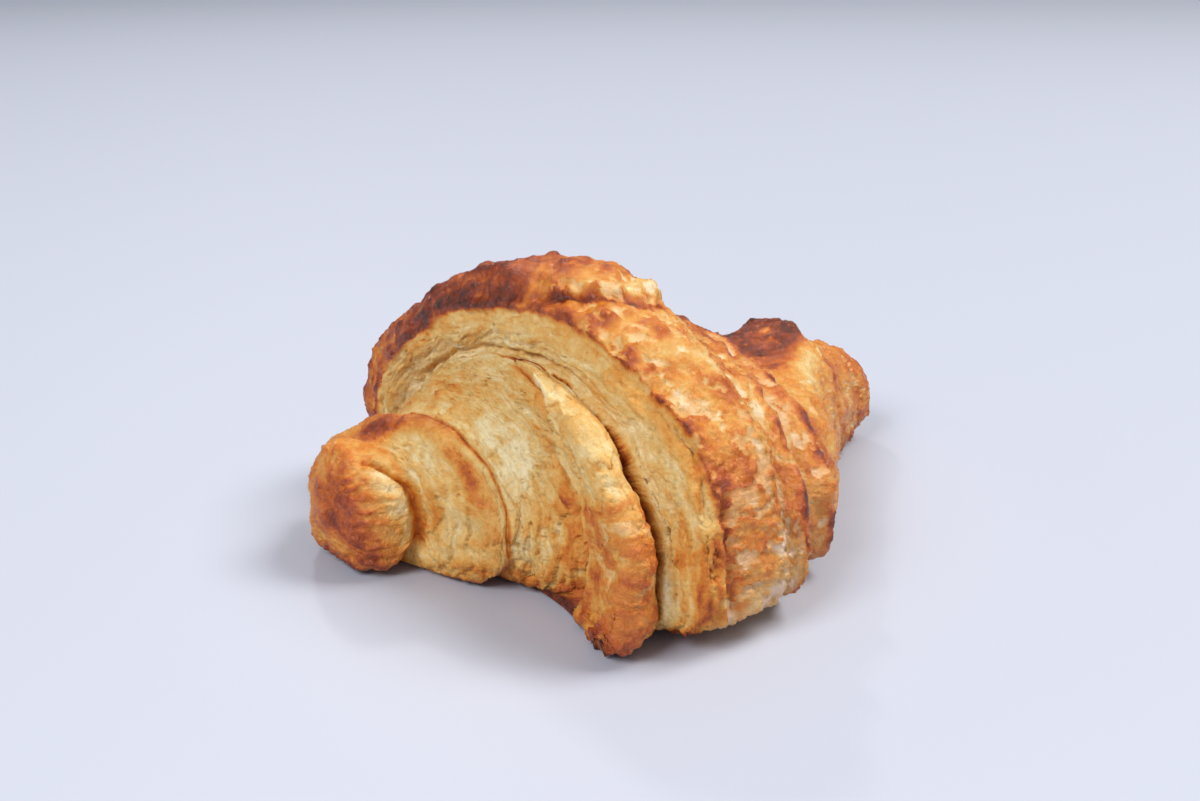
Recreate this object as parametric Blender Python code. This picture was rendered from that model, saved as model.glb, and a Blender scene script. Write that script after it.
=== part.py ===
"""A small butter croissant, one solid piece of baked dough.

A triangle of layered dough is rolled up into a spindle and bent a little.
Each turn of the sheet ends in an edge, so the roll swells in steps from both
tips to the hump in the middle.  The body is lofted through cross-sections
placed along the roll.  A cross-section is a rounded arch over a flatter
underside; it has a station along the roll, a bow toward the front, a half
width, a crown height and a fan angle, because the turns open out like a fan
round the inside of the bend.  Grooves between the turns are cut deeper at the
front than over the back, and the tail of the sheet lies on the hump as a low
tongue.

Metres, +Z up.  The roll's long axis is X: the plump core end is at -X, the
slim end at +X.  -Y is the front.  The origin is under the middle of the
bounding box, on the plane the croissant rests on.
"""

import math

import bmesh
import bpy
import numpy as np

MM = 0.001

# ---- driving dimensions, millimetres -------------------------------------
RINGS_PER_SPAN = 2      # cross-sections lofted per span between two stations
SIDES = 52              # points round one cross-section
ARCH_POWER = 2.2        # roundness of the upper arch (2 is an ellipse)
BACK_POWER = 1.75       # the arch falls away sooner over the back
BACK_LIFT = 4.0         # the hump's widest line is higher at the back
SOLE_POWER = 3.6        # squareness of the underside
BELT_BASE = 8.0         # height of the widest line on a very thin section
BELT_RISE = 0.075       # and how much it rises per mm of half width
CLEFT_CUT = 6.5         # extra depth of the open cleft at the front
CLEFT_FROM, CLEFT_TO = -28.0, 70.0      # degrees round the section
LOBE_OUT = 3.2          # how far the flap's lower corner hangs out toward -X
LOBE_FROM, LOBE_TO = -75.0, 15.0        # degrees round the section
TONGUE_RISE = 1.1       # thickness of the sheet's tail on the hump
TONGUE_X = (-26.0, -4.0)                # its start and its free end
TONGUE_ANGLE, TONGUE_HALF = 100.0, 34.0  # degrees round the section
TONGUE_EDGE = 1.6       # run-out of its free end

# Clearance of each kind of station's underside over the resting plane; a
# negative one is pressed flat on the plane.
FOOT = {"tip": 7.8, "nose": 3.4, "crest": -0.5, "lip": -0.5, "groove": 0.8,
        "arm": 0.2, "slim": 1.0, "slim nose": 3.8}

# name, kind, station, bow, half width, crown, fan angle in degrees
STATIONS = (
    ("core end",        "tip",       -54.5, -0.5,  1.5, 11.0,   5),
    ("core end",        "nose",      -53.0, -0.5,  6.0, 15.0,   5),
    ("core end",        "arm",       -50.5, -1.0,  9.0, 18.5,   6),
    ("core end",        "arm",       -48.0, -1.2, 10.8, 18.6,   8),
    ("pucker",          "groove",    -46.0, -0.6, 11.4, 18.0,  10),
    ("first turn",      "arm",       -44.5, -0.5, 15.0, 18.5,  10),
    ("first turn",      "crest",     -40.5,  3.0, 19.0, 21.5,   9),
    ("first crease",    "groove",    -38.5,  5.0, 18.0, 22.0,   7),
    ("second turn",     "arm",       -35.5,  6.5, 20.0, 24.0,   6),
    ("second turn",     "arm",       -32.0, 11.0, 27.0, 28.2,   3),
    ("flap",            "crest",     -30.8, 15.8, 32.2, 31.0,  -1),
    ("flap",            "crest",     -29.2, 15.5, 33.0, 31.2,   1),
    ("cleft",           "groove",    -28.3, 15.0, 33.4, 31.4,   2),
    ("side wall",       "arm",       -27.7, 15.0, 34.8, 32.4,   3),
    ("side wall",       "arm",       -28.2, 15.0, 37.8, 35.2,   6),
    ("hump rim",        "crest",     -27.0, 14.0, 39.5, 38.2,   9),
    ("hump",            "crest",     -21.5, 10.5, 43.0, 42.4,  13),
    ("hump",            "crest",     -14.5, 10.0, 42.0, 41.8,   3),
    ("hump",            "crest",      -6.0, 10.5, 40.5, 35.2,  -6),
    ("outer wrap edge", "lip",         3.5, 11.0, 40.0, 30.0, -13),
    ("outer wrap foot", "arm",         4.8,  9.5, 36.8, 27.8, -13),
    ("inner wrap edge", "lip",        13.5,  7.5, 35.5, 25.0, -12),
    ("inner wrap foot", "groove",     14.8,  8.0, 32.0, 22.6, -11),
    ("slim side",       "crest",      22.0,  6.0, 27.5, 22.6, -13),
    ("slim side",       "arm",        28.5,  2.5, 22.0, 23.0, -13),
    ("slim side",       "arm",        34.5, -1.5, 19.0, 23.0, -12),
    ("end crease",      "groove",     36.5, -1.5, 16.5, 20.5, -12),
    ("slim end",        "arm",        40.0, -2.0, 13.5, 19.0, -10),
    ("slim end",        "slim",       46.0, -2.5,  9.0, 17.0,  -9),
    ("slim end",        "slim nose",  50.5, -1.5,  5.5, 13.5,  -6),
    ("slim end",        "tip",        52.5, -0.5,  1.5, 11.0,  -6),
)
COLOUR = (0.62, 0.30, 0.085, 1.0)       # golden crust
ROUGHNESS = 0.42


def eased(x, y, xi):
    """A curve through y(x) with no overshoot between its knots."""
    h = np.diff(x)
    slope = np.diff(y) / h
    m = np.zeros_like(y)
    same = slope[:-1] * slope[1:] > 0
    w1, w2 = 2 * h[1:] + h[:-1], h[1:] + 2 * h[:-1]
    a = np.where(same, slope[:-1], 1.0)
    b = np.where(same, slope[1:], 1.0)
    m[1:-1] = np.where(same, (w1 + w2) / (w1 / a + w2 / b), 0.0)
    m[0], m[-1] = slope[0], slope[-1]
    k = np.clip(np.searchsorted(x, xi) - 1, 0, len(h) - 1)
    s, hk = (xi - x[k]) / h[k], h[k]
    return (y[k] * (1 + 2 * s) * (1 - s) ** 2 + m[k] * hk * s * (1 - s) ** 2
            + y[k + 1] * s * s * (3 - 2 * s) + m[k + 1] * hk * s * s * (s - 1))


def smooth(a, b, x):
    s = np.clip((x - a) / (b - a), 0.0, 1.0)
    return s * s * (3 - 2 * s)


def sections(t):
    """Loft the stations: one row of sizes for each parameter t, where whole
    numbers of t are the stations themselves."""
    rows = np.array([(x, bow, half, crown, FOOT[kind], fan)
                     for _, kind, x, bow, half, crown, fan in STATIONS], float)
    step = np.hypot(np.diff(rows[:, 0]),
                    0.5 * (np.diff(rows[:, 2]) + np.diff(rows[:, 3]))) + 0.3
    run = np.concatenate([[0.0], np.cumsum(step)])
    ti = np.interp(t, np.arange(len(rows)), run)
    return np.stack([eased(run, rows[:, j], ti) for j in range(6)], 1)


def skin(t, phi):
    """Points of the crust, in millimetres: one row for each section t, one
    column for each angle phi round it, 0 at the front and 90 degrees on top."""
    x, bow, half, crown, foot, fan = [c[:, None] for c in sections(t).T]
    turn = np.degrees((phi + math.pi / 2) % (2 * math.pi) - math.pi / 2)[None]
    belt = BELT_BASE + BELT_RISE * half
    c, s = np.cos(phi)[None], np.sin(phi)[None]
    power = np.where(s < 0, 2 / SOLE_POWER,
                     np.where(c >= 0, 2 / ARCH_POWER, 2 / BACK_POWER))
    across = half * np.sign(c) * np.abs(c) ** power
    up = np.where(s >= 0, (crown - belt) * np.abs(s) ** power,
                  -(belt - foot) * np.abs(s) ** power)
    # the open cleft behind the flap, deepest at the front
    cleft = [s[0] for s in STATIONS].index("cleft")
    past = np.asarray(t)[:, None] - cleft
    near = smooth(-1.0, 0.0, past) * (1 - smooth(0.3, 0.95, past))
    open_ = (smooth(CLEFT_FROM, CLEFT_FROM + 25, turn)
             * (1 - smooth(CLEFT_TO - 45, CLEFT_TO, turn)))
    shrink = 1 - CLEFT_CUT * near * open_ / half
    across, up = across * shrink, up * shrink
    # the flap's lower front corner, a lobe that hangs out
    flap = [s[0] for s in STATIONS].index("flap")
    near = np.clip(1 - np.abs(np.asarray(t)[:, None] - flap - 0.2) / 1.4, 0, 1)
    lobe = LOBE_OUT * near * (smooth(LOBE_FROM, LOBE_FROM + 35, turn)
                              * (1 - smooth(LOBE_TO - 45, LOBE_TO, turn)))
    # the tail of the sheet, a tongue lying over the hump
    side = 1 - smooth(0.75, 1.0, np.abs(turn - TONGUE_ANGLE) / TONGUE_HALF)
    along = (smooth(TONGUE_X[0] - 6, TONGUE_X[0], x)
             * (1 - smooth(TONGUE_X[1] - TONGUE_EDGE, TONGUE_X[1], x)))
    rise = 1 + TONGUE_RISE * side * along / half
    across, up = across * rise, up * rise
    lift = BACK_LIFT * smooth(20, 40, half) * np.clip(-c, 0, 1) * (1 - np.clip(s, 0, 1))
    z = np.maximum(belt + up + lift, 0.0)
    f = np.radians(fan)
    return np.stack([x + across * np.sin(f) - lobe,
                     -(bow + across * np.cos(f)), z], -1)


def croissant_mesh():
    spans = len(STATIONS) - 1
    t = np.arange(spans * RINGS_PER_SPAN + 1) / RINGS_PER_SPAN
    phi = np.arange(SIDES) * 2 * math.pi / SIDES
    grid = skin(t, phi)
    low, high = grid.reshape(-1, 3).min(0), grid.reshape(-1, 3).max(0)
    grid = grid - np.array([(low[0] + high[0]) / 2, (low[1] + high[1]) / 2, low[2]])
    bm = bmesh.new()
    rows = [[bm.verts.new(p * MM) for p in ring] for ring in grid]
    for a, b in zip(rows[:-1], rows[1:]):
        for k in range(SIDES):
            n = (k + 1) % SIDES
            bm.faces.new((a[k], a[n], b[n], b[k]))
    for ring, flip in ((rows[0], True), (rows[-1], False)):
        pole = bm.verts.new(np.mean([v.co[:] for v in ring], axis=0))
        for k in range(SIDES):
            n = (k + 1) % SIDES
            bm.faces.new((ring[n], ring[k], pole) if flip else (ring[k], ring[n], pole))
    bmesh.ops.recalc_face_normals(bm, faces=bm.faces[:])
    bmesh.ops.triangulate(bm, faces=bm.faces[:])
    bmesh.ops.recalc_face_normals(bm, faces=bm.faces[:])
    mesh = bpy.data.meshes.new("croissant")
    bm.to_mesh(mesh)
    bm.free()
    mesh.shade_smooth()
    return mesh


def crust_material():
    mat = bpy.data.materials.new("crust")
    mat.use_nodes = True
    shader = mat.node_tree.nodes["Principled BSDF"]
    shader.inputs["Base Color"].default_value = COLOUR
    shader.inputs["Roughness"].default_value = ROUGHNESS
    shader.inputs["Metallic"].default_value = 0.0
    return mat


def main():
    for old in list(bpy.data.objects):
        bpy.data.objects.remove(old, do_unlink=True)
    croissant = bpy.data.objects.new("croissant", croissant_mesh())
    croissant.data.materials.append(crust_material())
    bpy.context.scene.collection.objects.link(croissant)


main()
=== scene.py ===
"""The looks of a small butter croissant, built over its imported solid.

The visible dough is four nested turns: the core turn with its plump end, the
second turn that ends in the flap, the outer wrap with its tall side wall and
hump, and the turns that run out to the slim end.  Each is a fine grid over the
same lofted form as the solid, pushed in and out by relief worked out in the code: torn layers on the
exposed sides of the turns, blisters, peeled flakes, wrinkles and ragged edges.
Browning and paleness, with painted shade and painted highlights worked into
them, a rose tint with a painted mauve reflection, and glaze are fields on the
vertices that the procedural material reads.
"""
import math

import bpy
import numpy as np
from mathutils import Matrix, Vector


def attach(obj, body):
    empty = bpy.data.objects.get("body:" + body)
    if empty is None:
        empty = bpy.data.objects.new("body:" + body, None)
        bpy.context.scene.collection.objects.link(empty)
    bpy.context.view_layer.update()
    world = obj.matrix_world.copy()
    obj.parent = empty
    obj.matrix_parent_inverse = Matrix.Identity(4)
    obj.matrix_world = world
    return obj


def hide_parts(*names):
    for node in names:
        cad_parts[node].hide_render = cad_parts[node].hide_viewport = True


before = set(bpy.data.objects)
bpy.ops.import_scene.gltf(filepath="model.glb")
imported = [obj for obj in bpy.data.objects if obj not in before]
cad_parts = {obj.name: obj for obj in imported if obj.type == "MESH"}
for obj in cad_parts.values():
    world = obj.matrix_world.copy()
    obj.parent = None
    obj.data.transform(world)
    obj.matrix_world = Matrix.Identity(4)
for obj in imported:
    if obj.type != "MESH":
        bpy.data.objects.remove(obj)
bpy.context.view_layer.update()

MM = 0.001

# --------------------------------------------------------------------------
# the form: the same stations and lofting rule as the solid
# --------------------------------------------------------------------------
RINGS_PER_SPAN = 2
SIDES = 52
ARCH_POWER = 2.2
BACK_POWER = 1.75
BACK_LIFT = 4.0
SOLE_POWER = 3.6
BELT_BASE = 8.0
BELT_RISE = 0.075
CLEFT_CUT = 6.5
CLEFT_FROM, CLEFT_TO = -28.0, 70.0
LOBE_OUT = 3.2
LOBE_FROM, LOBE_TO = -75.0, 15.0
TONGUE_RISE = 1.1
TONGUE_X = (-26.0, -4.0)
TONGUE_ANGLE, TONGUE_HALF = 100.0, 34.0
TONGUE_EDGE = 1.6
FOOT = {"tip": 7.8, "nose": 3.4, "crest": -0.5, "lip": -0.5, "groove": 0.8,
        "arm": 0.2, "slim": 1.0, "slim nose": 3.8}
STATIONS = (
    ("core end",        "tip",       -54.5, -0.5,  1.5, 11.0,   5),
    ("core end",        "nose",      -53.0, -0.5,  6.0, 15.0,   5),
    ("core end",        "arm",       -50.5, -1.0,  9.0, 18.5,   6),
    ("core end",        "arm",       -48.0, -1.2, 10.8, 18.6,   8),
    ("pucker",          "groove",    -46.0, -0.6, 11.4, 18.0,  10),
    ("first turn",      "arm",       -44.5, -0.5, 15.0, 18.5,  10),
    ("first turn",      "crest",     -40.5,  3.0, 19.0, 21.5,   9),
    ("first crease",    "groove",    -38.5,  5.0, 18.0, 22.0,   7),
    ("second turn",     "arm",       -35.5,  6.5, 20.0, 24.0,   6),
    ("second turn",     "arm",       -32.0, 11.0, 27.0, 28.2,   3),
    ("flap",            "crest",     -30.8, 15.8, 32.2, 31.0,  -1),
    ("flap",            "crest",     -29.2, 15.5, 33.0, 31.2,   1),
    ("cleft",           "groove",    -28.3, 15.0, 33.4, 31.4,   2),
    ("side wall",       "arm",       -27.7, 15.0, 34.8, 32.4,   3),
    ("side wall",       "arm",       -28.2, 15.0, 37.8, 35.2,   6),
    ("hump rim",        "crest",     -27.0, 14.0, 39.5, 38.2,   9),
    ("hump",            "crest",     -21.5, 10.5, 43.0, 42.4,  13),
    ("hump",            "crest",     -14.5, 10.0, 42.0, 41.8,   3),
    ("hump",            "crest",      -6.0, 10.5, 40.5, 35.2,  -6),
    ("outer wrap edge", "lip",         3.5, 11.0, 40.0, 30.0, -13),
    ("outer wrap foot", "arm",         4.8,  9.5, 36.8, 27.8, -13),
    ("inner wrap edge", "lip",        13.5,  7.5, 35.5, 25.0, -12),
    ("inner wrap foot", "groove",     14.8,  8.0, 32.0, 22.6, -11),
    ("slim side",       "crest",      22.0,  6.0, 27.5, 22.6, -13),
    ("slim side",       "arm",        28.5,  2.5, 22.0, 23.0, -13),
    ("slim side",       "arm",        34.5, -1.5, 19.0, 23.0, -12),
    ("end crease",      "groove",     36.5, -1.5, 16.5, 20.5, -12),
    ("slim end",        "arm",        40.0, -2.0, 13.5, 19.0, -10),
    ("slim end",        "slim",       46.0, -2.5,  9.0, 17.0,  -9),
    ("slim end",        "slim nose",  50.5, -1.5,  5.5, 13.5,  -6),
    ("slim end",        "tip",        52.5, -0.5,  1.5, 11.0,  -6),
)
LAST = len(STATIONS) - 1


def eased(x, y, xi):
    h = np.diff(x)
    slope = np.diff(y) / h
    m = np.zeros_like(y)
    same = slope[:-1] * slope[1:] > 0
    w1, w2 = 2 * h[1:] + h[:-1], h[1:] + 2 * h[:-1]
    a = np.where(same, slope[:-1], 1.0)
    b = np.where(same, slope[1:], 1.0)
    m[1:-1] = np.where(same, (w1 + w2) / (w1 / a + w2 / b), 0.0)
    m[0], m[-1] = slope[0], slope[-1]
    k = np.clip(np.searchsorted(x, xi) - 1, 0, len(h) - 1)
    s, hk = (xi - x[k]) / h[k], h[k]
    return (y[k] * (1 + 2 * s) * (1 - s) ** 2 + m[k] * hk * s * (1 - s) ** 2
            + y[k + 1] * s * s * (3 - 2 * s) + m[k + 1] * hk * s * s * (s - 1))


def smooth(a, b, x):
    s = np.clip((x - a) / (b - a), 0.0, 1.0)
    return s * s * (3 - 2 * s)


def run_table():
    rows = np.array([(x, bow, half, crown, FOOT[kind], fan)
                     for _, kind, x, bow, half, crown, fan in STATIONS], float)
    step = np.hypot(np.diff(rows[:, 0]),
                    0.5 * (np.diff(rows[:, 2]) + np.diff(rows[:, 3]))) + 0.3
    return rows, np.concatenate([[0.0], np.cumsum(step)])


ROWS, RUN = run_table()


def run_at(t):
    return np.interp(t, np.arange(len(RUN)), RUN)


def crack_width(turn):
    return 0.28 + 0.44 * np.exp(-((turn - 26) / 22) ** 2)


def skin(t, phi, slit=False):
    """t and phi are arrays of one shape; returns points in millimetres.  With
    slit the cleft is a narrow torn crack, without it the solid's plain cut."""
    ti = run_at(t)
    x, bow, half, crown, foot, fan = [eased(RUN, ROWS[:, j], ti) for j in range(6)]
    turn = np.degrees((phi + math.pi / 2) % (2 * math.pi) - math.pi / 2)
    belt = BELT_BASE + BELT_RISE * half
    c, s = np.cos(phi), np.sin(phi)
    power = np.where(s < 0, 2 / SOLE_POWER,
                     np.where(c >= 0, 2 / ARCH_POWER, 2 / BACK_POWER))
    across = half * np.sign(c) * np.abs(c) ** power
    up = np.where(s >= 0, (crown - belt) * np.abs(s) ** power,
                  -(belt - foot) * np.abs(s) ** power)
    near = smooth(11.0, 12.0, t) * (1 - smooth(12.3, 12.95, t))
    open_ = (smooth(CLEFT_FROM, CLEFT_FROM + 25, turn)
             * (1 - smooth(CLEFT_TO - 45, CLEFT_TO, turn)))
    cut = CLEFT_CUT
    if slit:
        w = crack_width(turn)
        near = (smooth(12 - 0.8 * w, 12 - 0.2 * w, t)
                * (1 - smooth(12 + 0.25 * w, 12 + 0.7 * w, t)))
        open_ = (smooth(CLEFT_FROM, CLEFT_FROM + 18, turn)
                 * (1 - smooth(CLEFT_TO - 10, CLEFT_TO + 18, turn)))
        cut = 7.5 - 3.0 * smooth(45, 90, turn)
    shrink = 1 - cut * near * open_ / half
    across, up = across * shrink, up * shrink
    near = np.clip(1 - np.abs(t - 10.2) / 1.4, 0, 1)
    lobe = LOBE_OUT * near * (smooth(LOBE_FROM, LOBE_FROM + 35, turn)
                              * (1 - smooth(LOBE_TO - 45, LOBE_TO, turn)))
    side = 1 - smooth(0.75, 1.0, np.abs(turn - TONGUE_ANGLE) / TONGUE_HALF)
    along = (smooth(TONGUE_X[0] - 6, TONGUE_X[0], x)
             * (1 - smooth(TONGUE_X[1] - TONGUE_EDGE, TONGUE_X[1], x)))
    rise = 1 + TONGUE_RISE * side * along / half
    across, up = across * rise, up * rise
    lift = BACK_LIFT * smooth(20, 40, half) * np.clip(-c, 0, 1) * (1 - np.clip(s, 0, 1))
    z = np.maximum(belt + up + lift, 0.0)
    f = np.radians(fan)
    return np.stack([x + across * np.sin(f) - lobe, -(bow + across * np.cos(f)), z], -1)


def frame_shift():
    t = np.arange(LAST * RINGS_PER_SPAN + 1) / RINGS_PER_SPAN
    phi = np.arange(SIDES) * 2 * math.pi / SIDES
    g = skin(*np.meshgrid(t, phi, indexing="ij")).reshape(-1, 3)
    low, high = g.min(0), g.max(0)
    return np.array([(low[0] + high[0]) / 2, (low[1] + high[1]) / 2, low[2]])


SHIFT = frame_shift()

# --------------------------------------------------------------------------
# noise
# --------------------------------------------------------------------------
_rng = np.random.default_rng(20561)
PERM = _rng.permutation(256)
PERM = np.concatenate([PERM, PERM, PERM])
_g = _rng.normal(size=(256, 3))
GRAD = (_g / np.linalg.norm(_g, axis=1, keepdims=True)).astype(np.float32)


def perlin(p):
    """Gradient noise, about -1..1, for points p (n, 3)."""
    p = np.asarray(p, np.float64)
    i = np.floor(p).astype(np.int64)
    f = (p - i).astype(np.float32)
    i &= 255
    u = f * f * f * (f * (f * 6 - 15) + 10)
    out = 0
    for dx in (0, 1):
        wx = u[:, 0] if dx else 1 - u[:, 0]
        ax = PERM[i[:, 0] + dx]
        for dy in (0, 1):
            wy = u[:, 1] if dy else 1 - u[:, 1]
            ay = PERM[ax + ((i[:, 1] + dy) & 255)]
            for dz in (0, 1):
                wz = u[:, 2] if dz else 1 - u[:, 2]
                g = GRAD[PERM[ay + ((i[:, 2] + dz) & 255)]]
                d = (g[:, 0] * (f[:, 0] - dx) + g[:, 1] * (f[:, 1] - dy)
                     + g[:, 2] * (f[:, 2] - dz))
                out = out + wx * wy * wz * d
    return out * 1.55


def fbm(p, octaves=3, gain=0.5, seed=0.0):
    p = np.asarray(p) + seed * 7.31
    total, amp, norm = 0, 1.0, 0
    for _ in range(octaves):
        total = total + amp * perlin(p)
        norm += amp
        p = p * 2.03 + 3.7
        amp *= gain
    return total / norm


def ridged(p, octaves=3, seed=0.0):
    p = np.asarray(p) + seed * 5.17
    total, amp, norm = 0, 1.0, 0
    for _ in range(octaves):
        total = total + amp * (1 - 2 * np.abs(perlin(p)))
        norm += amp
        p = p * 2.1 + 1.9
        amp *= 0.5
    return total / norm


def worley(p, seed=0):
    """Jittered cells: a repeatable 0..1 value for each cell, the gap to the
    nearest border, and the offset from the cell's own point along axis 0."""
    i = np.floor(p).astype(np.int64)
    f = p - i
    best = np.full(len(p), 9.0)
    second = np.full(len(p), 9.0)
    value = np.zeros(len(p))
    across = np.zeros(len(p))
    for dx in (-1, 0, 1):
        for dy in (-1, 0, 1):
            for dz in (-1, 0, 1):
                h = PERM[PERM[PERM[(i[:, 0] + dx + seed) & 255]
                              + ((i[:, 1] + dy) & 255)] + ((i[:, 2] + dz) & 255)]
                ox = dx + PERM[h] / 255.0 - f[:, 0]
                oy = dy + PERM[h + 57] / 255.0 - f[:, 1]
                oz = dz + PERM[h + 113] / 255.0 - f[:, 2]
                d = np.sqrt(ox * ox + oy * oy + oz * oz)
                closer = d < best
                second = np.where(closer, best, np.minimum(second, d))
                value = np.where(closer, PERM[h + 171] / 255.0, value)
                across = np.where(closer, -ox, across)
                best = np.where(closer, d, best)
    return value, second - best, across


def spot(t, turn, t0, turn0, rt, rturn, power=2.0):
    """A soft patch centred at station t0 and angle turn0."""
    d = np.abs((turn - turn0 + 180) % 360 - 180) / rturn
    return np.exp(-((np.abs(t - t0) / rt) ** power + d ** power))


def band(t, a, b, soft=0.25):
    return smooth(a - soft, a + soft, t) * (1 - smooth(b - soft, b + soft, t))


def angles(turn, a, b, soft=12.0):
    return smooth(a - soft, a + soft, turn) * (1 - smooth(b - soft, b + soft, turn))


# --------------------------------------------------------------------------
# relief and browning
# --------------------------------------------------------------------------
def line(t, turn, path, width):
    """1 on a line given as stations at angles, fading over width."""
    deg = [q[0] for q in path]
    at = np.interp(turn, deg, [q[1] for q in path])
    on = smooth(deg[0] - 6, deg[0] + 6, turn) * (1 - smooth(deg[-1] - 6, deg[-1] + 6, turn))
    return on * np.exp(-((t - at) / width) ** 2)


TAIL_PATH = ((15.0, 90), (15.36, 86), (15.5, 80), (15.7, 76), (16.0, 73), (16.6, 71), (17.4, 72))
FLAP_PATH = ((-70, 9.55), (-30, 9.0), (0, 8.9), (46, 8.95), (62, 9.5), (80, 10.05), (96, 10.5))
PUCKER_PATH = ((-40, 4.3), (0, 3.95), (34, 3.7), (50, 3.0), (58, 2.4))


def wall_mask(t, turn):
    """1 on the torn, layered sides of the turns, 0 on glazed crust."""
    first = band(t, 4.1, 5.75, 0.35) * (1 - angles(turn, 84, 150, 10) * 0.95)
    tread = 0.45 * band(t, 5.6, 7.1, 0.3) * angles(turn, -40, 66, 10)
    second = band(t, 7.12, 11.9, 0.12)
    flap = band(t, 9.0, 11.9, 0.2) * (1 - smooth(14, 30, turn)) * smooth(-120, -80, turn)
    second = second * (1 - 0.75 * flap)
    third = smooth(11.8, 12.2, t) * (1 - smooth(14.76, 14.92, t))
    return np.clip(np.maximum.reduce([first, tread, second, third]), 0, 1)


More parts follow.
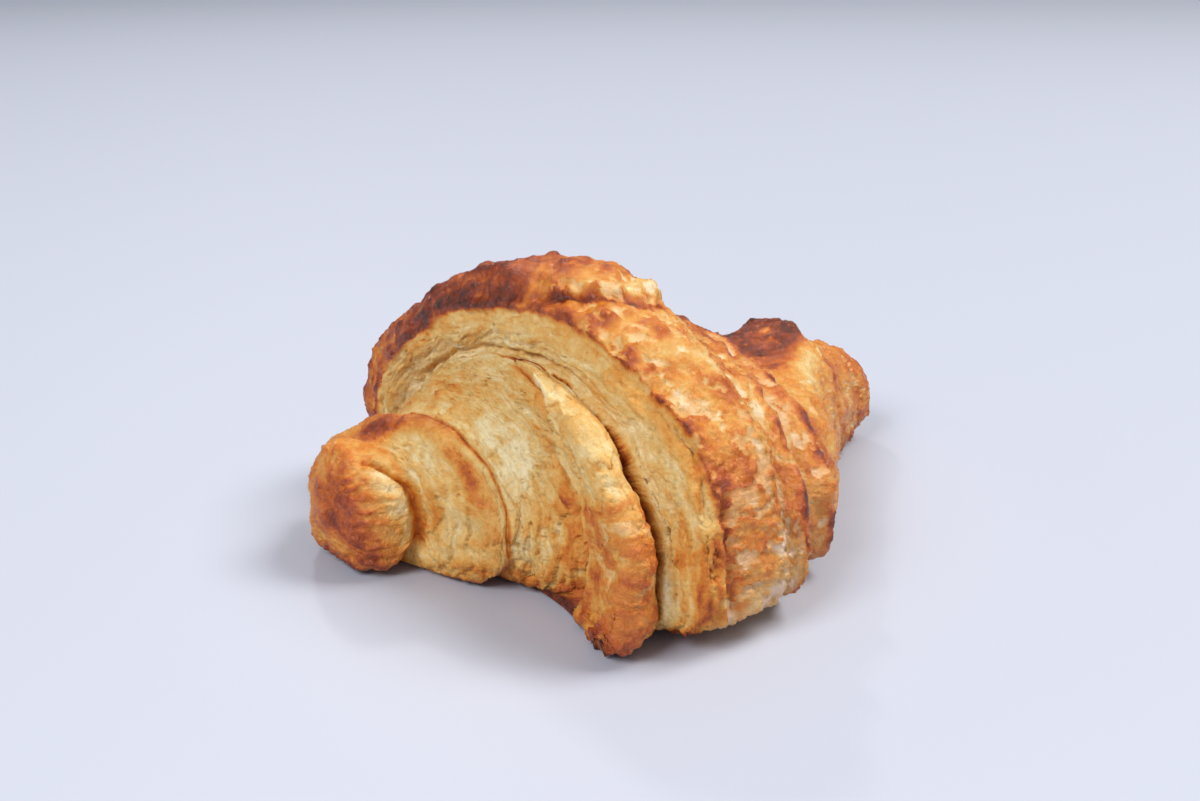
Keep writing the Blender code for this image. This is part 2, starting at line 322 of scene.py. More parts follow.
def build_piece(name, t_list, phis, cap_start, cap_end):
    """One closed turn of dough between two stations."""
    nt, nphi = len(t_list), len(phis)
    t, phi = [a.ravel() for a in np.meshgrid(t_list, phis, indexing="ij")]
    t_own = t
    base = skin(t, phi)
    turn = np.degrees((phi + math.pi / 2) % (2 * math.pi) - math.pi / 2)
    # the edges of the turns wander and are ragged
    ends = smooth(0.0, 3.0, t) * (1 - smooth(28.0, 30.0, t))
    ragged = 1 + 1.3 * sum(np.exp(-((t - q) / 0.5) ** 2) for q in (9.2, 12.5, 14.9))
    wrap = 1 + 1.0 * band(t, 17.5, 22.5, 0.6)
    t = np.interp(run_at(t) + ends * (0.9 * wrap * fbm(base / 7.0, 3, seed=31.0)
                  + 0.20 * ragged * fbm(base / 2.4, 3, seed=32.0)), RUN, np.arange(len(RUN)))
    base = skin(t, phi, True)
    # the flap hugs the wall: low at the front it is drawn back and inward
    tuck = smooth(8.8, 11.7, t) * (1 - smooth(12.9, 14.5, t)) * (
        smooth(-34, 28, turn) * (1 - smooth(30, 56, turn)))
    base[:, 0] -= 0.7 * tuck
    base[:, 1] += 2.0 * tuck

    # wobble of the whole form, so no edge is a clean curve
    warp = np.stack([fbm(base / 13.0, 2, seed=k + 1.3) for k in range(3)], -1)
    warp2 = np.stack([fbm(base / 4.6, 2, seed=k + 5.7) for k in range(3)], -1)
    upper = smooth(0.0, 5.0, base[:, 2])[:, None]
    pts = base + (0.9 * warp + 0.30 * warp2) * (0.25 + 0.75 * upper)

    g = pts.reshape(nt, nphi, 3)
    du = np.gradient(g, axis=0)
    dv = np.roll(g, -1, 1) - np.roll(g, 1, 1)
    normal = np.cross(dv, du).reshape(-1, 3)
    length = np.linalg.norm(normal, axis=1, keepdims=True)
    normal = normal / np.maximum(length, 1e-9)
    centre = np.stack([base[:, 0], np.full(len(t), -8.0), np.full(len(t), 12.0)], -1)
    if np.mean(((base - centre) * normal).sum(1)) < 0:
        normal = -normal

    t_rim = t + 0.22 * fbm(base / 2.6, 3, seed=33.0) * band(t, 13.5, 16.0, 0.3)
    wall = wall_mask(t_rim, turn)
    crust = 1 - wall
    run = run_at(t)
    y, z = base[:, 1], base[:, 2]
    sole = 1 - smooth(0.3, 2.2, z)
    hump_front = band(t, 14.8, 21.5, 0.3)
    shake = np.stack([fbm(base / 3.2, 3, seed=40 + q) for q in range(3)], -1)

    # torn layers: long shingles that run round the turn, each tilted and
    # standing in or out, with thin slits between them
    lane = run + 1.5 * fbm(base / 9.0, 2, seed=2.1) + 0.5 * shake[:, 0]
    v1, gap1, dx1 = worley(np.stack([lane / 1.9, (y + shake[:, 1]) / 6.5,
                                     (z + shake[:, 2]) / 6.5], -1), 3)
    v2, gap2, dx2 = worley(np.stack([(lane + 0.4 * shake[:, 2]) / 0.85,
                                     (y + shake[:, 2]) / 3.4, (z + shake[:, 0]) / 3.4], -1), 77)
    sheets = (v1 - 0.5) + 0.5 * dx1
    flakes = (v2 - 0.5) + 0.5 * dx2
    slit = ridged(np.stack([lane / 1.5, y / 5.0, z / 5.0], -1), 2, seed=6.6)
    cut = np.clip(fbm(base / 3.4, 2, seed=3.3) - 0.08, 0, 1)
    groove = smooth(0.68, 0.92, slit) * np.clip(3.0 * cut, 0, 1)
    slit2 = ridged(np.stack([(lane + 0.3 * shake[:, 1]) / 0.85, y / 2.6, z / 2.6], -1), 2, seed=26.6)
    groove2 = smooth(0.70, 0.9, slit2) * smooth(0.05, 0.3, fbm(base / 2.6, 2, seed=27.3))
    strands = fbm(np.stack([lane / 0.42, y / 3.6, z / 3.6], -1), 3, seed=6.1)
    torn = fbm(base / 1.1, 3, seed=9.2)
    swell = fbm(base / 5.0, 2, seed=15.0)
    ripped = spot(t, turn, 8.1, 50, 0.7, 30)
    disp = wall * (0.62 * sheets + (0.30 + 0.3 * ripped) * flakes - 0.62 * groove
                   - 0.40 * groove2
                   + 0.15 * strands + (0.11 + 0.2 * ripped) * torn + 0.55 * swell)

    # crust: lumps, blisters, thin peeled flakes and wrinkles
    lumps = fbm(base / 6.0, 2, seed=4.4)
    small = fbm(base / 2.1, 3, seed=7.7)
    fine = fbm(base / 0.75, 3, seed=1.7)
    wrinkle = ridged(np.stack([run / 2.6, y / 1.7, z / 1.7], -1) + 0.25 * shake, 3, seed=2.9)
    density = (0.50 * band(t, 14.7, 18.9, 0.4) * angles(turn, 22, 82, 10)
               + 0.62 * band(t, 14.9, 18.9, 0.4) * angles(turn, -70, 24, 10)
               + 0.62 * band(t, 19.2, 21.0, 0.3) * angles(turn, -40, 110, 10)
               + 0.20 * band(t, 21.4, 26.0, 0.4)
               + 0.30 * band(t, 26.4, 29.0, 0.4)
               + 0.34 * band(t, 9.2, 11.8, 0.3)
               + 0.26 * band(t, 14.7, 18.9, 0.4) * angles(turn, 150, 250, 20))
    patch = fbm(np.stack([run / 2.3, y / 2.9, z / 2.9], -1) + 0.5 * shake, 4, 0.55, seed=12.5)
    over = patch - (0.36 - 0.52 * density)
    peeled = smooth(-0.05, 0.07, over) * smooth(0.02, 0.16, density)
    curl = np.exp(-((over + 0.03) / 0.05) ** 2) * smooth(0.05, 0.25, density)
    blister = np.clip(fbm(base / 3.4, 2, seed=14.2) - 0.16, 0, 1)
    bumps = 1 + 0.3 * band(t, 14.9, 18.9, 0.4) * angles(turn, 75, 200, 15)
    knobs = fbm(base / 4.6, 2, seed=16.0)
    upper_ = np.clip(band(t, 15.1, 18.6, 0.4) * (angles(turn, 66, 118, 12)
                                                  + 0.4 * angles(turn, 118, 215, 12))
                     + band(t, 22.5, 28.5, 0.5) * 0.8, 0, 1)
    disp = disp + 1.25 * upper_ * knobs
    long_ = fbm(np.stack([run / 1.5, y / 7.0, z / 7.0], -1) + 0.2 * shake, 3, seed=51.0)
    back = band(t, 14.9, 18.9, 0.4) * angles(turn, 96, 225, 10)
    disp = disp + 0.55 * back * long_
    disp = disp + crust * (0.42 * lumps * bumps + 0.30 * small * bumps * (1 - 0.6 * back)
                           + 0.17 * fine
                           + 0.26 * wrinkle - 0.20 * peeled + 0.20 * curl
                           + 0.75 * blister * bumps)

    ridges = ridged(np.stack([(run + 0.8 * shake[:, 0]) / 2.6, y / 6.0, z / 6.0], -1), 2, seed=19.0)
    outer_front = np.clip(hump_front * (1 - smooth(70, 100, turn)) * smooth(-90, -60, turn)
                          + 0.6 * band(t, 26.5, 29.0, 0.4), 0, 1)
    disp = disp + 0.38 * outer_front * ridges
    # the sheet's tail: a raised edge that runs along the top of the hump
    side_at = np.interp(t, [q[0] for q in TAIL_PATH], [q[1] for q in TAIL_PATH])
    tail = turn - side_at + 2.0 * shake[:, 1]
    tail_on = band(t, 15.25, 17.3, 0.15)
    disp = disp + tail_on * (0.9 * smooth(-1.0, 1.5, tail) * (1 - smooth(14, 34, tail))
                             - 0.5 * np.exp(-((tail + 2.6) / 1.8) ** 2))

    # named features of the form
    flap_on = angles(turn, -66, 88, 8)
    flap_at = np.interp(turn, [q[0] for q in FLAP_PATH], [q[1] for q in FLAP_PATH])
    step = smooth(-0.04, 0.05, t - flap_at) * (1 - smooth(10.4, 11.6, t))
    disp = disp + 1.5 * flap_on * step
    disp = disp + 0.45 * flap_on * np.exp(-((t - flap_at - 0.10) / 0.09) ** 2)
    disp = disp - (1.1 + 0.7 * angles(turn, 0, 66, 10)) * flap_on * np.exp(
        -((t - flap_at + 0.15) / 0.16) ** 2)
    crumble = band(t, 9.3, 11.7, 0.3) * angles(turn, -75, -8, 10)
    disp = disp + crumble * (0.7 * small + 0.5 * torn)
    crinkle = band(t, 9.2, 11.8, 0.2) * (1 - smooth(26, 36, turn)) * smooth(-20, 6, turn)
    disp = disp + crinkle * (0.35 * small + 0.4 * ridged(base / 2.4 + 0.3 * shake, 3, seed=37.0))
    pucker = line(t, turn, PUCKER_PATH, 0.24)
    disp = disp - 1.5 * pucker - 0.5 * line(t, turn, PUCKER_PATH, 0.8)
    pleat = (np.sin(np.radians(turn) * 30 + 5.0 * shake[:, 0]) * band(t, 1.0, 3.0, 0.5)
             * np.clip(0.6 + 1.5 * fbm(base / 2.8, 2, seed=35.0), 0, 1.4))
    disp = disp + 0.16 * pleat + 0.5 * swell * band(t, 0.4, 6.9, 0.4)
    # the rims of the wraps stand up and shade the dough beyond them
    for t0, high_, low_ in ((19.0, 1.0, 1.1), (21.0, 0.8, 0.9)):
        disp = disp + high_ * np.exp(-((t - t0 + 0.12) / 0.22) ** 2) * (0.75 + 0.7 * lumps)
        disp = disp - low_ * np.exp(-((t - t0 - 0.62) / 0.35) ** 2)
    rim_on = angles(turn, 14, 112, 10)
    disp = disp + rim_on * (0.55 * np.exp(-((t_rim - 15.0) / 0.16) ** 2)
                            - 0.40 * np.exp(-((t_rim - 14.72) / 0.12) ** 2))
    lip = np.exp(-((t - 14.95) / 0.22) ** 2)
    disp = disp + lip * (0.15 + 0.45 * small + 0.25 * torn) * (1 - 0.85 * angles(turn, 96, 220, 12))
    front_groove = line(t, turn, ((-14, 15.15), (6, 15.05), (22, 15.12)), 0.16)
    disp = disp - 1.1 * front_groove
    far_crease = np.exp(-((t - 26.0) / 0.22) ** 2)
    disp = disp - 0.4 * far_crease
    fold = line(t, turn, ((74, 13.05), (100, 12.9), (150, 13.0)), 0.16)
    disp = disp - 0.45 * fold
    disp = disp + 0.3 * line(t, turn, ((74, 13.35), (100, 13.2), (150, 13.3)), 0.18)

    inside = smooth(11.5, 11.7, t) * (1 - smooth(12.4, 12.75, t)) * angles(turn, -30, 85, 8)
    disp = disp * (1 - 0.85 * sole) * (1 - 0.85 * inside)
    hold = np.ones_like(t)
    if cap_start:
        hold = hold * smooth(0.0, 0.12, t_own - t_list[0])
    if cap_end:
        hold = hold * smooth(0.0, 0.12, t_list[-1] - t_own)
    disp = disp * hold
    # low down the dough is torn and crumbly
    crumbs = (1 - smooth(2.0, 7.0, z)) * smooth(0.2, 1.2, z) * (1 - hump_front)
    disp = disp + hold * crumbs * (0.55 * small + 0.45 * torn)
    pts = pts + normal * disp[:, None]
    # the underside is lifted off the plane where two turns meet
    arch = (2.6 * np.exp(-((t - 4.0) / 0.6) ** 2) + 2.0 * np.exp(-((t - 7.3) / 0.45) ** 2)
            + 0.5 * np.exp(-((t - 8.9) / 0.35) ** 2))
    pts[:, 2] += hold * arch * (1 - smooth(0.5, 8.0, z)) * (1 - smooth(-22, 0, turn)) * (
        turn > -90) * smooth(-90, -60, turn)
    # the crack stands open between the flap and the wall
    open_ = angles(turn, 2, 64, 16) * hold
    pts[:, 0] += open_ * (0.55 * band(t, 12.15, 14.0, 0.18) - 0.25 * band(t, 10.9, 11.8, 0.2))
    pts[:, 2] = np.maximum(pts[:, 2], 0.0)

    f = dict(t=t, turn=turn, base=base, wall=wall, crust=crust, peeled=peeled, curl=curl,
             lumps=lumps, small=small, fine=fine, sheets=sheets, flakes=flakes,
             groove=groove, strands=strands, blister=blister, sole=sole, pucker=pucker,
             front_groove=front_groove, fold=fold, pleat=pleat, tail=tail, tail_on=tail_on, groove2=groove2, ridges=ridges, outer_front=outer_front, swell=swell, wrinkle=wrinkle, gap1=gap1, gap2=gap2,
             flap_at=flap_at, flap_on=flap_on, shake=shake, torn=torn, long_=long_,
             rim=rim_on * np.exp(-((t_rim - 14.9) / 0.07) ** 2))
    bake_and_painted_light, rose_tint_and_sheen, gloss = browning(f)
    return make_mesh(name, pts, nt, nphi, cap_start, cap_end,
                     {"bake_and_painted_light": bake_and_painted_light, "rose_tint_and_sheen": rose_tint_and_sheen, "gloss": gloss, "wall": wall})


def browning(f):
    t, turn, base, wall, crust = f["t"], f["turn"], f["base"], f["wall"], f["crust"]
    small, lumps, peeled = f["small"], f["lumps"], f["peeled"]
    big = fbm(base / 11.0, 2, seed=21.0)
    mid = fbm(base / 4.0, 3, seed=22.0)
    streak = fbm(np.stack([run_at(t) / 1.6, base[:, 1] / 6.0, base[:, 2] / 6.0], -1)
                 + 0.3 * f["shake"], 3, seed=23.0)
    # crust level: golden, darker on what stands out
    bake_and_painted_light = 0.50 + 0.06 * big + (0.24 - 0.12 * angles(turn, 96, 225, 12)) * mid + 0.08 * lumps + 0.16 * small - 0.07 * f["ridges"] * f["outer_front"]
    bake_and_painted_light = bake_and_painted_light + 0.20 * np.clip(f["blister"], 0, 1) + 0.05 * f["curl"] - 0.05 * f["wrinkle"]
    hump = band(t, 14.85, 18.9, 0.25)
    # deep bake over the upper back of the hump, golden over its front
    bake_and_painted_light = bake_and_painted_light + (0.37 + 0.30 * f["long_"]) * hump * angles(turn, 98, 225, 12)
    bake_and_painted_light = bake_and_painted_light + 0.16 * hump * angles(turn, 80, 100, 8)
    bake_and_painted_light = bake_and_painted_light - (0.15 - 0.12 * mid) * band(t, 14.9, 26.6, 0.3) * angles(turn, 140, 235, 16)
    bake_and_painted_light = bake_and_painted_light + 0.02 * hump * angles(turn, 26, 76, 10)
    bake_and_painted_light = bake_and_painted_light + 0.10 * hump * (angles(turn, 26, 84, 12)) * np.clip(1.6 * mid, -0.6, 1)
    bake_and_painted_light = bake_and_painted_light + 0.06 * hump * angles(turn, 6, 26, 10) - 0.20 * hump * angles(turn, -70, -2, 12)
    bake_and_painted_light = bake_and_painted_light + 0.22 * f["rim"]
    bake_and_painted_light = bake_and_painted_light + 0.10 * spot(t, turn, 15.2, 20, 0.5, 30)
    # edges of the wraps toast first
    for t0, w, a in ((18.93, 0.15, 0.27), (20.94, 0.17, 0.30), (15.0, 0.14, 0.08)):
        bake_and_painted_light = bake_and_painted_light + a * np.exp(-((t - t0) / w) ** 2) * np.clip(0.7 + 1.2 * mid, 0, 1.3)
    bake_and_painted_light = bake_and_painted_light + 0.06 * band(t, 19.3, 21.0, 0.3)
    bake_and_painted_light = bake_and_painted_light + 0.14 * band(t, 21.2, 22.2, 0.3)
    bake_and_painted_light = bake_and_painted_light + 0.36 * band(t, 22.4, 26.6, 0.5) * angles(turn, 76, 170, 9)
    bake_and_painted_light = bake_and_painted_light - 0.40 * spot(t, turn, 23.9, 60, 0.8, 13) + 0.12 * spot(t, turn, 24.0, 74, 1.4, 10)
    bake_and_painted_light = bake_and_painted_light + 0.18 * smooth(28.2, 29.4, t)
    bake_and_painted_light = bake_and_painted_light - 0.16 * spot(t, turn, 27.4, 20, 0.5, 22)
    bake_and_painted_light = bake_and_painted_light + 0.05 * band(t, 26.4, 30, 0.3)
    bake_and_painted_light = bake_and_painted_light + 0.12 * np.exp(-((t - 26.3) / 0.3) ** 2)
    # the core end: brown cheek, pale round the pucker
    bake_and_painted_light = bake_and_painted_light + 0.24 * spot(t, turn, 0.9, 22, 0.9, 55) + 0.16 * spot(t, turn, 1.9, -14, 0.9, 26)
    bake_and_painted_light = bake_and_painted_light + 0.10 * spot(t, turn, 3.2, -26, 0.7, 22) + 0.12 * (1 - smooth(0.2, 0.9, t))
    bake_and_painted_light = bake_and_painted_light - 0.36 * spot(t, turn, 2.75, 38, 0.75, 30) - 0.04 * spot(t, turn, 1.9, 66, 0.8, 18)
    bake_and_painted_light = bake_and_painted_light - 0.20 * spot(t, turn, 3.35, 8, 0.4, 26)
    bake_and_painted_light = bake_and_painted_light + 0.36 * spot(t, turn, 5.4, 101, 0.9, 16) + 0.22 * spot(t, turn, 4.3, 98, 0.7, 13)
    bake_and_painted_light = bake_and_painted_light + 0.09 * f["pleat"] * angles(turn, -30, 80, 15)
    bake_and_painted_light = bake_and_painted_light + 0.12 * spot(t, turn, 6.8, 80, 0.35, 20)
    tail, tail_on = f["tail"], f["tail_on"]
    # the sheet's tail: a darker line of painted shade in the groove beside its raised edge, and a pale strip on
    # the edge
    bake_and_painted_light = bake_and_painted_light + tail_on * (0.34 * np.exp(-((tail + 2.2) / 1.6) ** 2)
                             - 0.22 * smooth(0.0, 1.2, tail) * (1 - smooth(4, 9, tail))
                             * smooth(16.05, 16.35, t) * (1 - smooth(16.9, 17.3, t)))
    crust_bake_and_shade = bake_and_painted_light - peeled * np.clip(0.34 + 0.40 * small, 0.08, 0.6)

    wall_tone_and_painted_light = 0.17 + 0.06 * big + 0.09 * mid + 0.12 * f["sheets"] + 0.11 * f["flakes"]
    # painted shade: the slits and grooves between the torn layers are darkened
    wall_tone_and_painted_light = wall_tone_and_painted_light + 0.15 * streak + 0.10 * f["strands"] + 0.08 * f["groove"] + 0.16 * f["groove2"]
    wall_tone_and_painted_light = wall_tone_and_painted_light + 0.04 * np.exp(-(f["gap1"] / 0.06) ** 2) - 0.06 * f["torn"]
    # near their outer edge and low down the walls take colour
    edge = band(t, 13.9, 15.0, 0.35)
    wall_tone_and_painted_light = wall_tone_and_painted_light + 0.16 * edge * (0.5 + 0.5 * angles(turn, -60, 70, 20))
    low = band(t, 12.9, 15.0, 0.5) * angles(turn, -70, 26, 14)
    wall_tone_and_painted_light = wall_tone_and_painted_light + 0.24 * low * np.clip(0.9 + 1.5 * streak, 0, 2)
    # golden run of the second turn beside the flap
    beside = np.exp(-((t - f["flap_at"] + 0.5) / 0.55) ** 2) * angles(turn, -70, 34, 12)
    wall_tone_and_painted_light = wall_tone_and_painted_light + 0.22 * beside * np.clip(0.8 + 1.5 * streak, 0, 2)
    wall_tone_and_painted_light = wall_tone_and_painted_light + 0.10 * band(t, 7.2, 8.9, 0.3) * angles(turn, -80, -10, 14)
    wall_tone_and_painted_light = wall_tone_and_painted_light + 0.28 * spot(t, turn, 8.4, 108, 0.8, 22) * np.clip(0.6 + 1.2 * mid, 0, 2)
    wall_tone_and_painted_light = wall_tone_and_painted_light + 0.14 * spot(t, turn, 7.5, 150, 2.0, 40)
    # the first turn's sides
    wall_tone_and_painted_light = wall_tone_and_painted_light + 0.30 * spot(t, turn, 4.75, 14, 0.22, 22)
    orange = line(t, turn, ((-34, 5.5), (10, 5.55), (36, 5.75), (60, 5.95)), 0.26)
    # painted highlight: a small pale spot on the first turn's tread
    wall_tone_and_painted_light = wall_tone_and_painted_light - 0.16 * spot(t, turn, 6.65, 54, 0.3, 12)
    wall_tone_and_painted_light = wall_tone_and_painted_light - 0.24 * spot(t, turn, 8.0, 48, 0.42, 24) * np.clip(0.9 + 1.6 * small, 0, 2)
    # the flap: pale above, browned below
    flap = band(t, 9.0, 11.8, 0.12)
    wall_tone_and_painted_light = wall_tone_and_painted_light + 0.05 * flap * angles(turn, 32, 80, 6)
    flap_bake = 0.52 + 0.30 * mid + 0.22 * small - 0.24 * peeled + 0.10 * streak
    down = flap * (1 - smooth(26, 35, turn + 6 * small)) * smooth(-120, -90, turn)
    out = wall * wall_tone_and_painted_light + crust * crust_bake_and_shade
    out = out * (1 - down) + down * flap_bake
    # the flap's edge: a darker run before it, partly its own deeper tone and partly painted shade, a thin dark
    # line of painted shade under the edge, and a thin pale line of painted highlight along it
    past = t - f["flap_at"]
    out = out + 0.15 * f["flap_on"] * smooth(-0.9, -0.1, past) * (1 - smooth(-0.06, 0.0, past))
    out = out + 0.40 * f["flap_on"] * np.exp(-((past + 0.05) / 0.05) ** 2)
    out = out - 0.08 * f["flap_on"] * np.exp(-((past - 0.10) / 0.06) ** 2)
    out = out + 0.14 * f["sole"] + 0.22 * (1 - smooth(1.0, 5.5, base[:, 2])) * np.clip(
        0.8 + 1.2 * small, 0, 2)
    out = out * (1 - 0.30 * band(t, 6.4, 6.95, 0.15) * angles(turn, -40, 66, 8))
    out = out + 0.20 * orange * np.clip(0.9 + 1.2 * mid, 0, 1.6)
    # painted shade: the crack, the groove past the front rim, the fold, the first crease and the pucker are
    # darkened where shade falls into them
    w = crack_width(turn)
    cleft = (smooth(12 - 0.9 * w, 12 - 0.65 * w, t) * (1 - smooth(12 + 0.52 * w, 12 + 0.70 * w, t))
             * angles(turn, -40, 100, 10))
    out = out + (0.58 + 0.1 * mid) * cleft + 0.22 * f["front_groove"] + 0.12 * f["fold"]
    out = out + 0.24 * f["pucker"]
    out = out + 0.22 * np.exp(-((t - 7.06) / 0.08) ** 2) * angles(turn, -60, 112, 10)
    # a pink-mauve tint: the rosy colour of the cheek, the flakes and the browned flap, and over the upper back
    # of the hump partly a painted mauve reflection
    rose_tint_and_sheen = np.clip(hump * (angles(turn, 100, 225, 12) * (0.35 + 0.9 * mid)
                           + angles(turn, -70, 26, 10) * 0.45)
                   + 0.4 * band(t, 26.4, 30, 0.4) + 0.7 * spot(t, turn, 1.2, 14, 1.1, 50)
                   + 0.7 * down * smooth(-0.1, 0.15, mid) + 0.45 * peeled + 0.35 * hump * np.clip(mid * 2, 0, 1)
                   + 0.4 * band(t, 20.4, 21.2, 0.3), 0, 1)
    rose_tint_and_sheen = rose_tint_and_sheen * np.maximum(crust, down)
    gloss = np.clip(crust * (0.95 - 0.45 * peeled + 0.5 * mid), 0, 1)
    return np.clip(out, 0, 1), rose_tint_and_sheen, gloss


def make_mesh(name, pts, nt, nphi, cap_start, cap_end, fields):
    pts = (pts - SHIFT) * MM
    faces = []
    ring = np.arange(nphi)
    nxt = (ring + 1) % nphi
    for i in range(nt - 1):
        a, b = i * nphi, (i + 1) * nphi
        faces.append(np.stack([a + ring, a + nxt, b + nxt, b + ring], 1))
    quads = np.concatenate(faces)
    extra = []
    tris = []
    fields = {k: v.copy() for k, v in fields.items()}
    for which, inset in ((0, cap_start), (nt - 1, cap_end)):
        rim = pts[which * nphi:(which + 1) * nphi]
        mid = rim.mean(0)
        if inset:
            mid = mid + np.array([inset * MM, 0, 0])
        index = len(pts) + len(extra)
        extra.append(mid)
        a = which * nphi + ring
        b = which * nphi + nxt
        tri = np.stack([b, a, np.full(nphi, index)], 1) if which == 0 else \
            np.stack([a, b, np.full(nphi, index)], 1)
        tris.append(tri)
    verts = np.concatenate([pts, np.array(extra)])
    tris = np.concatenate(tris)
    # outward winding
    v = verts[quads]
    vol = np.einsum("ij,ij->i", v[:, 0], np.cross(v[:, 1], v[:, 2])).sum() \
        + np.einsum("ij,ij->i", v[:, 0], np.cross(v[:, 2], v[:, 3])).sum()
    if vol < 0:
        quads, tris = quads[:, ::-1], tris[:, ::-1]
    mesh = bpy.data.meshes.new(name)
    mesh.vertices.add(len(verts))
    mesh.vertices.foreach_set("co", verts.astype(np.float32).ravel())
    loops = np.concatenate([quads.ravel(), tris.ravel()]).astype(np.int32)
    mesh.loops.add(len(loops))
    mesh.loops.foreach_set("vertex_index", loops)
    starts = np.concatenate([np.arange(len(quads)) * 4,
                             len(quads) * 4 + np.arange(len(tris)) * 3]).astype(np.int32)
    mesh.polygons.add(len(starts))
    mesh.polygons.foreach_set("loop_start", starts)
    mesh.update(calc_edges=True)
    mesh.validate()
    for key, value in fields.items():
        full = np.concatenate([value, [value[:nphi].mean(), value[-nphi:].mean()]])
        att = mesh.attributes.new(key, "FLOAT", "POINT")
        att.data.foreach_set("value", full.astype(np.float32))
    mesh.shade_smooth()
    ob = bpy.data.objects.new(name, mesh)
    bpy.context.scene.collection.objects.link(ob)
    return ob


# --------------------------------------------------------------------------
# material
# --------------------------------------------------------------------------
def srgb(r, g, b):
    def lin(c):
        c /= 255.0
        return c / 12.92 if c <= 0.04045 else ((c + 0.055) / 1.055) ** 2.4
    return (lin(r), lin(g), lin(b), 1.0)


def crust_material():
    mat = bpy.data.materials.new("baked_dough")
    mat.use_nodes = True
    nt = mat.node_tree
    nt.nodes.clear()
    new, link = nt.nodes.new, nt.links.new
    out = new("ShaderNodeOutputMaterial")
    bsdf = new("ShaderNodeBsdfPrincipled")
    link(bsdf.outputs[0], out.inputs[0])

    def attr(name):
        n = new("ShaderNodeAttribute")
        n.attribute_name = name
        return n.outputs["Fac"]

    def math_(op, a, b=None, clamp=False):
        n = new("ShaderNodeMath")
        n.operation = op
        n.use_clamp = clamp
        for i, v in enumerate((a, b)):
            if v is None:
                continue
            if isinstance(v, (int, float)):
                n.inputs[i].default_value = v
            else:
                link(v, n.inputs[i])
        return n.outputs[0]

    coord = new("ShaderNodeTexCoord").outputs["Object"]

    def noise(scale, detail=3.0, rough=0.55, distort=0.0):
        n = new("ShaderNodeTexNoise")
        n.inputs["Scale"].default_value = scale
        n.inputs["Detail"].default_value = detail
        n.inputs["Roughness"].default_value = rough
        n.inputs["Distortion"].default_value = distort
        link(coord, n.inputs["Vector"])
        return n.outputs["Fac"]

    bake_and_painted_light, rose_tint_and_sheen, gloss, wall = attr("bake_and_painted_light"), attr("rose_tint_and_sheen"), attr("gloss"), attr("wall")
    n1 = noise(420, 4, 0.6, 0.4)
    n2 = noise(1700, 3, 0.6)
    n3 = noise(3600, 2, 0.5)
    n4 = noise(900, 4, 0.65, 0.8)
    level = math_("ADD", bake_and_painted_light, math_("MULTIPLY", math_("SUBTRACT", n1, 0.5), 0.34))
    level = math_("ADD", level, math_("MULTIPLY", math_("SUBTRACT", n2, 0.5), 0.20))
    level = math_("ADD", level, math_("MULTIPLY", math_("SUBTRACT", n4, 0.5), 0.22))
    level = math_("ADD", level, math_("MULTIPLY", math_("SUBTRACT", n3, 0.5), 0.06), clamp=True)
    ramp = new("ShaderNodeValToRGB")
    stops = ((0.00, (250, 228, 178)), (0.13, (240, 206, 140)), (0.27, (232, 184, 104)),
             (0.40, (228, 162, 74)), (0.52, (220, 134, 42)), (0.66, (196, 98, 26)),
             (0.80, (152, 62, 16)), (1.00, (78, 34, 16)))
    el = ramp.color_ramp.elements
    while len(el) < len(stops):
        el.new(0.5)
    for e, (p, c) in zip(el, stops):
        e.position, e.color = p, srgb(*c)
    link(level, ramp.inputs[0])
    mix = new("ShaderNodeMix")
    mix.data_type = "RGBA"
    mix.blend_type = "MULTIPLY"
    link(math_("MULTIPLY", rose_tint_and_sheen, 0.8), mix.inputs["Factor"])
    link(ramp.outputs[0], mix.inputs["A"])
    mix.inputs["B"].default_value = (0.94, 0.74, 0.95, 1)
    link(mix.outputs["Result"], bsdf.inputs["Base Color"])
    rough = math_("SUBTRACT", 0.66, math_("MULTIPLY", gloss, 0.44))
    rough = math_("ADD", rough, math_("MULTIPLY", math_("SUBTRACT", n2, 0.5), 0.25), clamp=True)
    link(rough, bsdf.inputs["Roughness"])
    bsdf.inputs["IOR"].default_value = 1.5
    bsdf.inputs["Specular IOR Level"].default_value = 0.5
    bump = new("ShaderNodeBump")
    bump.inputs["Strength"].default_value = 0.7
    bump.inputs["Distance"].default_value = 0.0006
    tall = math_("ADD", math_("MULTIPLY", n4, 1.2), math_("MULTIPLY", n2, 0.6))
    link(math_("ADD", tall, math_("MULTIPLY", n3, 0.25)), bump.inputs["Height"])
    link(bump.outputs[0], bsdf.inputs["Normal"])
    bsdf.inputs["Subsurface Weight"].default_value = 0.12
    bsdf.inputs["Subsurface Radius"].default_value = (0.0022, 0.0012, 0.0006)
    bsdf.inputs["Subsurface Scale"].default_value = 1.0
    return mat


# --------------------------------------------------------------------------
# build
# --------------------------------------------------------------------------
def spaced(a, b, count, dense):
    """Stations from a to b, about evenly spaced along the surface and closer
    together where dense(t) is large."""
    fine = np.linspace(a, b, 4000)
    w = np.abs(np.gradient(run_at(fine))) * dense(fine) + 1e-6
    cum = np.cumsum(w)
    cum = (cum - cum[0]) / (cum[-1] - cum[0])
    t = np.interp(np.linspace(0, 1, count), cum, fine)
    t[0], t[-1] = a, b
    return t


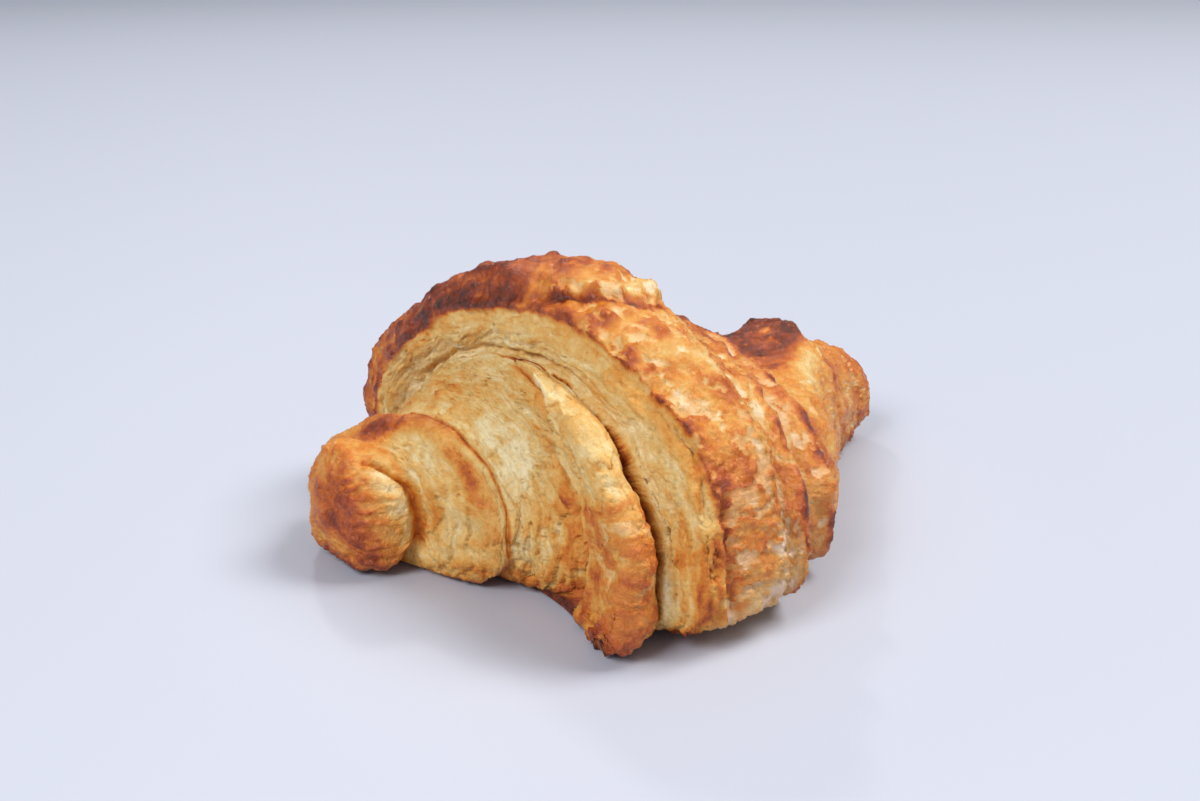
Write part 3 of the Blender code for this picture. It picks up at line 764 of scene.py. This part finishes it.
def around(count):
    """Angles round a section: close together over the top, wide on the sole."""
    fine = np.linspace(0, 2 * math.pi, 4001)
    p = skin(np.full(fine.shape, 16.0), fine)
    q = skin(np.full(fine.shape, 8.0), fine)
    w = (np.linalg.norm(np.gradient(p, axis=0), axis=1)
         + 1.5 * np.linalg.norm(np.gradient(q, axis=0), axis=1))
    deg = np.degrees(fine)
    w = w * np.where((deg > 215) & (deg < 325), 0.30, np.where((deg > 140) & (deg < 216), 0.7, 1.0))
    cum = np.cumsum(w)
    cum = (cum - cum[0]) / (cum[-1] - cum[0])
    return np.interp(np.arange(count) / count, cum, fine)


K = 1.0
phis = around(int(500 * K))
first_t, cleft_t, far_t = 7.0, 12.1, 19.98
core = build_piece("core_turn", spaced(0, first_t, int(170 * K), lambda t: 1 + 0.0 * t),
                   phis, 0.0, 4.0)
second = build_piece("second_turn", spaced(first_t, cleft_t, int(196 * K),
                     lambda t: 1 + 0.5 * (t > 8.5) + 1.2 * (t > 11.1)), phis, -4.0, 4.0)
outer = build_piece("outer_wrap", spaced(cleft_t, far_t, int(198 * K),
                    lambda t: 1 + 0.3 * (t < 15.2) + 1.5 * (t < 12.9)), phis, -4.0, 4.0)
slim = build_piece("slim_turns", spaced(far_t, LAST, int(196 * K), lambda t: 1 + 0.0 * t),
                   phis, -4.0, 0.0)
material = crust_material()
for piece in (core, second, outer, slim):
    piece.data.materials.append(material)
    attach(piece, "root")
    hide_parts("croissant")

# --------------------------------------------------------------------------
# stage, light, camera
# --------------------------------------------------------------------------
floor_mesh = bpy.data.meshes.new("floor")
s = 4.0
floor_mesh.from_pydata([(-s, -s, -0.0002), (s, -s, -0.0002), (s, s, -0.0002), (-s, s, -0.0002)],
                       [], [(0, 1, 2, 3)])
floor = bpy.data.objects.new("floor", floor_mesh)
bpy.context.scene.collection.objects.link(floor)
fm = bpy.data.materials.new("floor")
fm.use_nodes = True
fb = fm.node_tree.nodes["Principled BSDF"]
fb.inputs["Base Color"].default_value = srgb(196, 200, 213)
fb.inputs["Roughness"].default_value = 0.55
floor_mesh.materials.append(fm)

AZ, PITCH = math.radians(33.5), math.radians(19.5)
cam_data = bpy.data.cameras.new("camera")
cam_data.sensor_width = 36.0
cam_data.lens = 43.5
cam_data.clip_start = 0.005
cam = bpy.data.objects.new("camera", cam_data)
bpy.context.scene.collection.objects.link(cam)
cam.location = Vector(((-127.2 - SHIFT[0]) * MM, (-183.8 - SHIFT[1]) * MM, 95 * MM))
cam.rotation_euler = (math.pi / 2 - PITCH, 0, -AZ)
bpy.context.scene.camera = cam

RIGHT = Vector((math.cos(AZ), -math.sin(AZ), 0))
AHEAD = Vector((math.sin(AZ), math.cos(AZ), 0))


def area_light(name, right, ahead, up, size, watts, colour):
    data = bpy.data.lights.new(name, "AREA")
    data.shape = "SQUARE"
    data.size = size
    data.energy = watts
    data.color = colour
    ob = bpy.data.objects.new(name, data)
    ob.location = RIGHT * right + AHEAD * ahead + Vector((0, 0, up))
    ob.rotation_euler = (Vector((0, 0, 0.015)) - ob.location).to_track_quat("-Z", "Y").to_euler()
    bpy.context.scene.collection.objects.link(ob)
    return ob


area_light("key", 0.95, 0.15, 1.45, 0.8, 25.0, (1.0, 0.98, 0.94))
area_light("fill", -0.75, -0.95, 1.15, 0.7, 16.0, (0.97, 0.98, 1.0))
area_light("glint", -0.25, 0.9, 0.75, 0.10, 1.6, (1.0, 0.97, 0.95))

world = bpy.data.worlds.new("studio")
world.use_nodes = True
bg = world.node_tree.nodes["Background"]
bg.inputs["Color"].default_value = srgb(232, 238, 250)
bg.inputs["Strength"].default_value = 0.33
bpy.context.scene.world = world
bpy.context.scene.view_settings.view_transform = "Standard"
